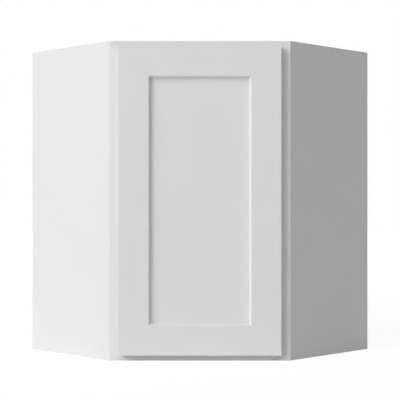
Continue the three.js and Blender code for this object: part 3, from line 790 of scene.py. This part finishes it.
def tenons(rail, room=0.0):
    """The tenons at both ends of a face frame rail, or with room added the mortises that they fit."""
    sizes = joinery()
    low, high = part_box(rail)
    left, right = low.x - room, high.x + room
    middle = (low.y + high.y) / 2
    half = sizes.tenon_thickness / 2 + room
    front, rear = middle - half, middle + half
    outline = [(left, front), (right, front), (right, rear), (left, rear)]
    shoulder = sizes.tenon_shoulder - room
    return prism(f"{rail}_tenons", outline, low.z + shoulder, high.z - shoulder)


def screw_place(screw, inward):
    """The middle of a hinge screw's face, and the screw's length."""
    low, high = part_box(screw)
    reach = abs((high - low).dot(inward))
    return (low + high) / 2 - inward * reach / 2, reach


def screw_hole(screw, inward):
    """The cutter for the hole of a hinge's screw, from the screw's head to its point."""
    mouth, reach = screw_place(screw, inward)
    radius = hardware().screw_shank_radius + JOINT_GAP
    return rod(f"{screw}_hole", radius, reach + JOINT_GAP, mouth, inward, HOLE_SIDES)


class CABINET_OT_face_frame(Operator):
    """Makes the face frame: two stiles bevelled to the ends, and two rails tenoned into them"""

    bl_idname = "cabinet.face_frame"
    bl_label = "Face frame"

    def execute(self, context):
        sizes = joinery()
        rear = PLAN.front + PLAN.frame_thickness
        for side, name in SIDE_NAMES.items():
            outline = [
                (side * PLAN.stile_inner, PLAN.front),
                (side * PLAN.front_half, PLAN.front),
                (side * (PLAN.front_half + PLAN.frame_thickness), rear),
                (side * PLAN.stile_inner, rear),
            ]
            stile = prism(f"frame_stile_{name}", outline, PLAN.bottom, PLAN.top)
            sand(stile, sizes.eased_edge, angle=30)
            cutters = [tenons(f"frame_rail_{end}", JOINT_GAP) for end in ("bottom", "top")]
            if side == LEFT:
                cutters += [screw_hole(screw, INTO_FRAME) for screw in hinge_screws("base")]
            carve(stile, cutters)
            smooth(stile)
            fit(stile, "cabinet", f"frame_stile_{name}", white_paint())
        shoulder = PLAN.stile_inner - sizes.joint_line
        for name in ("bottom", "top"):
            low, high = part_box(f"frame_rail_{name}")
            outline = [(-shoulder, low.y), (shoulder, low.y), (shoulder, high.y), (-shoulder, high.y)]
            rail = prism(f"frame_rail_{name}", outline, low.z, high.z)
            sand(rail, sizes.eased_edge / 2)
            carve(rail, [tenons(f"frame_rail_{name}")], "UNION")
            smooth(rail)
            fit(rail, "cabinet", f"frame_rail_{name}", white_paint())
        return {"FINISHED"}


# ---------------------------------------------------------------- door


def member_section(grow=0.0, outside=0.0, arc_steps=4):
    """Half a door member's section: in from its outer edge, and back from the door's front.

    Grown by a clearance and carried past its outer faces, it is what the end of a rail is cut to.
    """
    sizes = joinery()
    low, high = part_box("door_stile_hinge_side")
    thickness = high.y - low.y
    inner = sizes.flat_width + sizes.bevel_width + grow
    groove_bottom = sizes.flat_width + sizes.bevel_width - sizes.groove_depth
    groove_front = sizes.panel_recess + grow
    groove_rear = sizes.panel_recess + sizes.groove_width - grow
    radius = sizes.eased_edge
    slope = math.atan2(sizes.bevel_depth, sizes.bevel_width)
    arc_start = sizes.flat_width - radius * math.tan(slope / 2) + grow
    turns = [slope * step / arc_steps for step in range(arc_steps + 1)]
    arc = [(arc_start + radius * math.sin(turn), radius - radius * math.cos(turn)) for turn in turns]
    return [
        (-outside, -outside),
        (arc_start, -outside),
        *arc,
        (inner, sizes.bevel_depth),
        (inner, groove_front),
        (groove_bottom, groove_front),
        (groove_bottom, groove_rear),
        (inner, groove_rear),
        (inner, thickness + outside),
        (-outside, thickness + outside),
    ]


def plain_section():
    return rounded([(0, 0)] + member_section()[2:], joinery().eased_edge)


def door_box():
    """The whole door's lowest and highest corners."""
    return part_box("door_stile_hinge_side")[0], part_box("door_stile_latch_side")[1]


def stile_outline(side, section):
    low, high = door_box()
    edge = high.x if side == RIGHT else low.x
    return [(edge - side * across, low.y + back) for across, back in section]


def cup_bore(level, door_back):
    """The cutter for the hole that a hinge cup sits in."""
    low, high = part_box(f"hinge_{level}_cup")
    start = (high.x - CUP_FLANGE_RADIUS, low.y - JOINT_GAP, (low.z + high.z) / 2)
    reach = door_back - start[1] + OVERCUT
    return rod(f"cup_bore_{level}", joinery().cup_bore_radius, reach, start, (0, 1, 0), BORE_SIDES)


def door_stile(side, name):
    """A door stile, grooved for the panel, and bored for the hinge cups on the hinge side."""
    sizes = joinery()
    low, high = door_box()
    stile = prism(name, stile_outline(side, plain_section()), low.z, high.z)
    sand(stile, 0.8 * sizes.eased_edge, angle=50)
    if side == LEFT:
        cutters = [cup_bore(level, high.y) for level in ("lower", "upper")]
        carve(stile, cutters + [screw_hole(screw, INTO_DOOR) for screw in hinge_screws("cup")])
    smooth(stile)
    fit(stile, "door", name, white_paint())


def door_rail(end, name):
    """A door rail, with its ends coped over the stiles."""
    sizes = joinery()
    low, high = door_box()
    edge = high.z if end > 0 else low.z
    section = [(low.y + back, edge - end * across) for across, back in plain_section()]
    groove_bottom = sizes.flat_width + sizes.bevel_width - sizes.groove_depth + sizes.joint_line
    rail = prism(name, section, low.x + groove_bottom, high.x - groove_bottom, "side")
    cope = member_section(sizes.joint_line, OVERCUT)
    stiles = [
        prism(f"cope_{SIDE_NAMES[side]}", stile_outline(side, cope), low.z - OVERCUT, high.z + OVERCUT)
        for side in (LEFT, RIGHT)
    ]
    carve(rail, stiles)
    smooth(rail)
    fit(rail, "door", name, white_paint())


class CABINET_OT_door(Operator):
    """Makes the framed door: two stiles, two coped rails and a flat panel"""

    bl_idname = "cabinet.door"
    bl_label = "Door"

    def execute(self, context):
        door_stile(LEFT, "door_stile_hinge_side")
        door_stile(RIGHT, "door_stile_latch_side")
        door_rail(-1, "door_rail_bottom")
        door_rail(1, "door_rail_top")
        dress("door_panel", white_paint(), joinery().ply_edge)
        return {"FINISHED"}


class CABINET_OT_bumpers(Operator):
    """Finishes the door's soft bumpers"""

    bl_idname = "cabinet.bumpers"
    bl_label = "Bumpers"

    def execute(self, context):
        clear = shared("clear_bumper", soft_clear)
        for level in ("lower", "upper"):
            dress(f"door_bumper_{level}", clear, hardware().metal_edge)
        return {"FINISHED"}


# ---------------------------------------------------------------- hinges


def cross_recess(name, mouth, inward, turn):
    """Two crossed wings, narrower as they go down, for the tip of a driver."""
    sizes = hardware()
    upright = Matrix.Rotation(turn, 3, inward) @ Vector((0, 0, 1))
    wings = []
    for wing, across in enumerate((upright, upright.cross(inward))):
        beside = across.cross(inward)
        bm = bmesh.new()
        rings = []
        for share, down in ((1.2, -OVERCUT / 2), (0.4, sizes.recess_depth)):
            half_length, half_width = share * sizes.recess_reach, share ** 0.5 * sizes.recess_width / 2
            corners = ((-1, -1), (1, -1), (1, 1), (-1, 1))
            rings.append([
                bm.verts.new(mouth + inward * down + across * half_length * a + beside * half_width * b)
                for a, b in corners
            ])
        for ring in rings:
            bm.faces.new(ring)
        for here in range(4):
            after = (here + 1) % 4
            bm.faces.new((rings[0][here], rings[0][after], rings[1][after], rings[1][here]))
        wings.append(finish_mesh(f"{name}_wing_{wing}", bm))
    return wings


def sunk_profile(reach):
    """A wood screw with a sunk head, as radius and distance from the head's face."""
    sizes = hardware()
    head, shank, rim = sizes.screw_head_radius, sizes.screw_shank_radius, sizes.screw_rim
    tip = [(shank, reach - 2 * shank), (0, reach)]
    return [(0, 0), (head - rim, 0), (head, rim), (shank, head - shank)] + tip


def adjuster_profile(reach):
    """An adjusting screw with a flat head that holds the arm, as radius and distance."""
    sizes = hardware()
    head, shank, chamfer = sizes.adjuster_head_radius, sizes.adjuster_shank_radius, sizes.adjuster_chamfer
    under = sizes.adjuster_head_height
    shaft = [(shank, under), (shank, reach), (0, reach)]
    return [(0, 0), (head - chamfer, 0), (head, chamfer), (head, under)] + shaft


def cross_screw(node, body, profile, inward, turn):
    """A screw with a cross recess, turned as far as the driver left it."""
    mouth, reach = screw_place(node, inward)
    screw = turned(node, profile(reach), mouth, inward, SCREW_SIDES)
    carve(screw, cross_recess(node, mouth, inward, turn))
    smooth(screw)
    fit(screw, body, node, nickel())


class CABINET_OT_hinges(Operator):
    """Finishes the hinges' cups, arms, bases, pins and springs"""

    bl_idname = "cabinet.hinges"
    bl_label = "Hinges"

    def execute(self, context):
        steel = shared("spring_steel", plated, finishes().spring_steel, 0.3)
        edge = hardware().metal_edge
        for level in ("lower", "upper"):
            for part in ("cup", "arm", "base", "pin"):
                dress(f"hinge_{level}_{part}", nickel(), edge)
            dress(f"hinge_{level}_spring", steel, edge / 4)
        return {"FINISHED"}


class CABINET_OT_screws(Operator):
    """Makes the hinges' screws with cross recesses"""

    bl_idname = "cabinet.screws"
    bl_label = "Screws"

    def execute(self, context):
        quarter = math.pi / 2
        for turn, level in enumerate(("lower", "upper")):
            for step, end in enumerate(("lower", "upper")):
                share = 0.15 + (2 * turn + step) / 4.6
                base, cup = f"hinge_{level}_base_screw_{end}", f"hinge_{level}_cup_screw_{end}"
                cross_screw(base, "cabinet", sunk_profile, INTO_FRAME, share * quarter)
                cross_screw(cup, "door", sunk_profile, INTO_DOOR, -share * quarter)
            adjuster = f"hinge_{level}_adjusting_screw"
            cross_screw(adjuster, "cabinet", adjuster_profile, INTO_FRAME, (0.3 + turn / 3) * quarter)
        return {"FINISHED"}


# ---------------------------------------------------------------- studio


def studio_floor():
    """A pale floor that keeps the cabinet's soft shadow and otherwise looks white to the camera."""
    half = 12  # metres
    level = CAD_BOX[0][2] - 0.4 * MM
    bm = bmesh.new()
    corners = ((-half, -half), (half, -half), (half, half), (-half, half))
    bm.faces.new([bm.verts.new((x, y, level)) for x, y in corners])
    floor = finish_mesh("studio_floor", bm)
    recipe = Recipe("studio_floor")
    grit = recipe.noise(recipe.place, 40, detail=2)
    recipe.set("Base Color", recipe.blend(grit, (0.91, 0.91, 0.91), (0.93, 0.93, 0.93)))
    recipe.set("Roughness", 0.9)
    recipe.set("Specular IOR Level", 0.0)
    nodes, links = recipe.tree.nodes, recipe.tree.links
    glow = recipe.add("ShaderNodeEmission", {"Color": (1, 1, 1, 1), "Strength": studio().floor_glow})
    away = recipe.add("ShaderNodeVectorMath", {0: recipe.place}, operation="LENGTH").outputs["Value"]
    near, far = 1.2, 4.5  # metres from the middle, between which the floor turns white
    white = recipe.range(away, near, far, studio().floor_whiteness, 1.0)
    share = recipe.math("MULTIPLY", background_rays(nodes, links), white)
    mix = recipe.add("ShaderNodeMixShader", {0: share})
    links.new(recipe.shader.outputs[0], mix.inputs[1])
    links.new(glow.outputs[0], mix.inputs[2])
    links.new(mix.outputs[0], nodes["Material Output"].inputs["Surface"])
    floor.data.materials.append(recipe.material)


def background_rays(nodes, links):
    """1 for the rays that see the background: camera, mirror and glass rays."""
    path = nodes.new("ShaderNodeLightPath")
    first = nodes.new("ShaderNodeMath")
    first.operation = "MAXIMUM"
    links.new(path.outputs["Is Camera Ray"], first.inputs[0])
    links.new(path.outputs["Is Glossy Ray"], first.inputs[1])
    second = nodes.new("ShaderNodeMath")
    second.operation = "MAXIMUM"
    links.new(first.outputs[0], second.inputs[0])
    links.new(path.outputs["Is Transmission Ray"], second.inputs[1])
    return second.outputs[0]


def studio_world():
    """Even light from all round, behind which the background is white."""
    world = bpy.data.worlds.new("studio")
    world.use_nodes = True
    nodes, links = world.node_tree.nodes, world.node_tree.links
    seen = background_rays(nodes, links)
    strength = nodes.new("ShaderNodeMapRange")
    links.new(seen, strength.inputs["Value"])
    strength.inputs["To Min"].default_value = studio().room_light
    strength.inputs["To Max"].default_value = 1.0
    links.new(strength.outputs["Result"], nodes["Background"].inputs["Strength"])
    nodes["Background"].inputs["Color"].default_value = (1, 1, 1, 1)
    bpy.context.scene.world = world


def studio_lamp(name, azimuth, elevation, width, height, power):
    """A soft lamp aimed at the cabinet's middle, at an azimuth left of the door."""
    aim = Vector(((CAD_BOX[0][i] + CAD_BOX[1][i]) / 2 for i in range(3)))
    level = math.cos(elevation)
    toward = Vector((-math.sin(azimuth) * level, -math.cos(azimuth) * level, math.sin(elevation)))
    lamp = bpy.data.lights.new(name, "AREA")
    lamp.shape = "RECTANGLE"
    lamp.size = width
    lamp.size_y = height
    lamp.energy = power
    holder = bpy.data.objects.new(name, lamp)
    holder.location = aim + toward * studio().key_distance
    holder.rotation_euler = (-toward).to_track_quat("-Z", "Y").to_euler()
    bpy.context.scene.collection.objects.link(holder)


def studio_camera():
    """A level camera square to the door, at the height of the cabinet's middle."""
    setup = studio()
    lens = bpy.data.cameras.new("camera")
    lens.sensor_width = 36
    lens.lens = setup.lens
    lens.shift_y = setup.shift_up
    lens.clip_end = 100
    camera = bpy.data.objects.new("camera", lens)
    camera.location = (0, PLAN.front - setup.camera_distance, (PLAN.bottom + PLAN.top) / 2)
    camera.rotation_euler = (math.pi / 2, 0, 0)
    bpy.context.scene.collection.objects.link(camera)
    bpy.context.scene.camera = camera


class CABINET_OT_studio(Operator):
    """Sets up the floor, the background, the lamps and the camera"""

    bl_idname = "cabinet.studio"
    bl_label = "Studio"

    def execute(self, context):
        setup = studio()
        studio_floor()
        studio_world()
        width, height = setup.key_width, setup.key_height
        studio_lamp("key", setup.key_azimuth, setup.key_elevation, width, height, setup.key_power)
        studio_lamp("overhead", 0, setup.top_elevation, width, height * 0.7, setup.top_power)
        studio_lamp("back", setup.back_azimuth, setup.back_elevation, width, height, setup.back_power)
        studio_camera()
        context.scene.view_settings.view_transform = "Standard"
        return {"FINISHED"}


# ---------------------------------------------------------------- the add-on


class CABINET_PT_sidebar(Panel):
    """The cabinet's settings and operators in the 3D view's sidebar"""

    bl_label = "Corner wall cabinet"
    bl_space_type = "VIEW_3D"
    bl_region_type = "UI"
    bl_category = "Cabinet"

    def draw(self, context):
        for setting in SETTINGS:
            group = getattr(context.scene, setting)
            box = self.layout.box()
            for name in group.__annotations__:
                box.prop(group, name)
        for operator in OPERATORS:
            self.layout.operator(operator.bl_idname)


OPERATORS = (
    CABINET_OT_studio,
    CABINET_OT_end_panels,
    CABINET_OT_plywood_boards,
    CABINET_OT_face_frame,
    CABINET_OT_shelves,
    CABINET_OT_shelf_pins,
    CABINET_OT_door,
    CABINET_OT_bumpers,
    CABINET_OT_hinges,
    CABINET_OT_screws,
)
SETTINGS = {
    "cabinet_joinery": CABINET_PG_joinery,
    "cabinet_hardware": CABINET_PG_hardware,
    "cabinet_finishes": CABINET_PG_finishes,
    "cabinet_studio": CABINET_PG_studio,
}


def register():
    for name, group in SETTINGS.items():
        bpy.utils.register_class(group)
        setattr(bpy.types.Scene, name, PointerProperty(type=group))
    for operator in OPERATORS:
        bpy.utils.register_class(operator)
    bpy.utils.register_class(CABINET_PT_sidebar)


def unregister():
    bpy.utils.unregister_class(CABINET_PT_sidebar)
    for operator in reversed(OPERATORS):
        bpy.utils.unregister_class(operator)
    for name, group in SETTINGS.items():
        delattr(bpy.types.Scene, name)
        bpy.utils.unregister_class(group)


def main():
    register()
    bpy.ops.cabinet.studio()
    bpy.ops.cabinet.end_panels()
    bpy.ops.cabinet.plywood_boards()
    bpy.ops.cabinet.face_frame()
    bpy.ops.cabinet.shelves()
    bpy.ops.cabinet.shelf_pins()
    bpy.ops.cabinet.door()
    bpy.ops.cabinet.bumpers()
    bpy.ops.cabinet.hinges()
    bpy.ops.cabinet.screws()


if __name__ == "__main__":
    main()
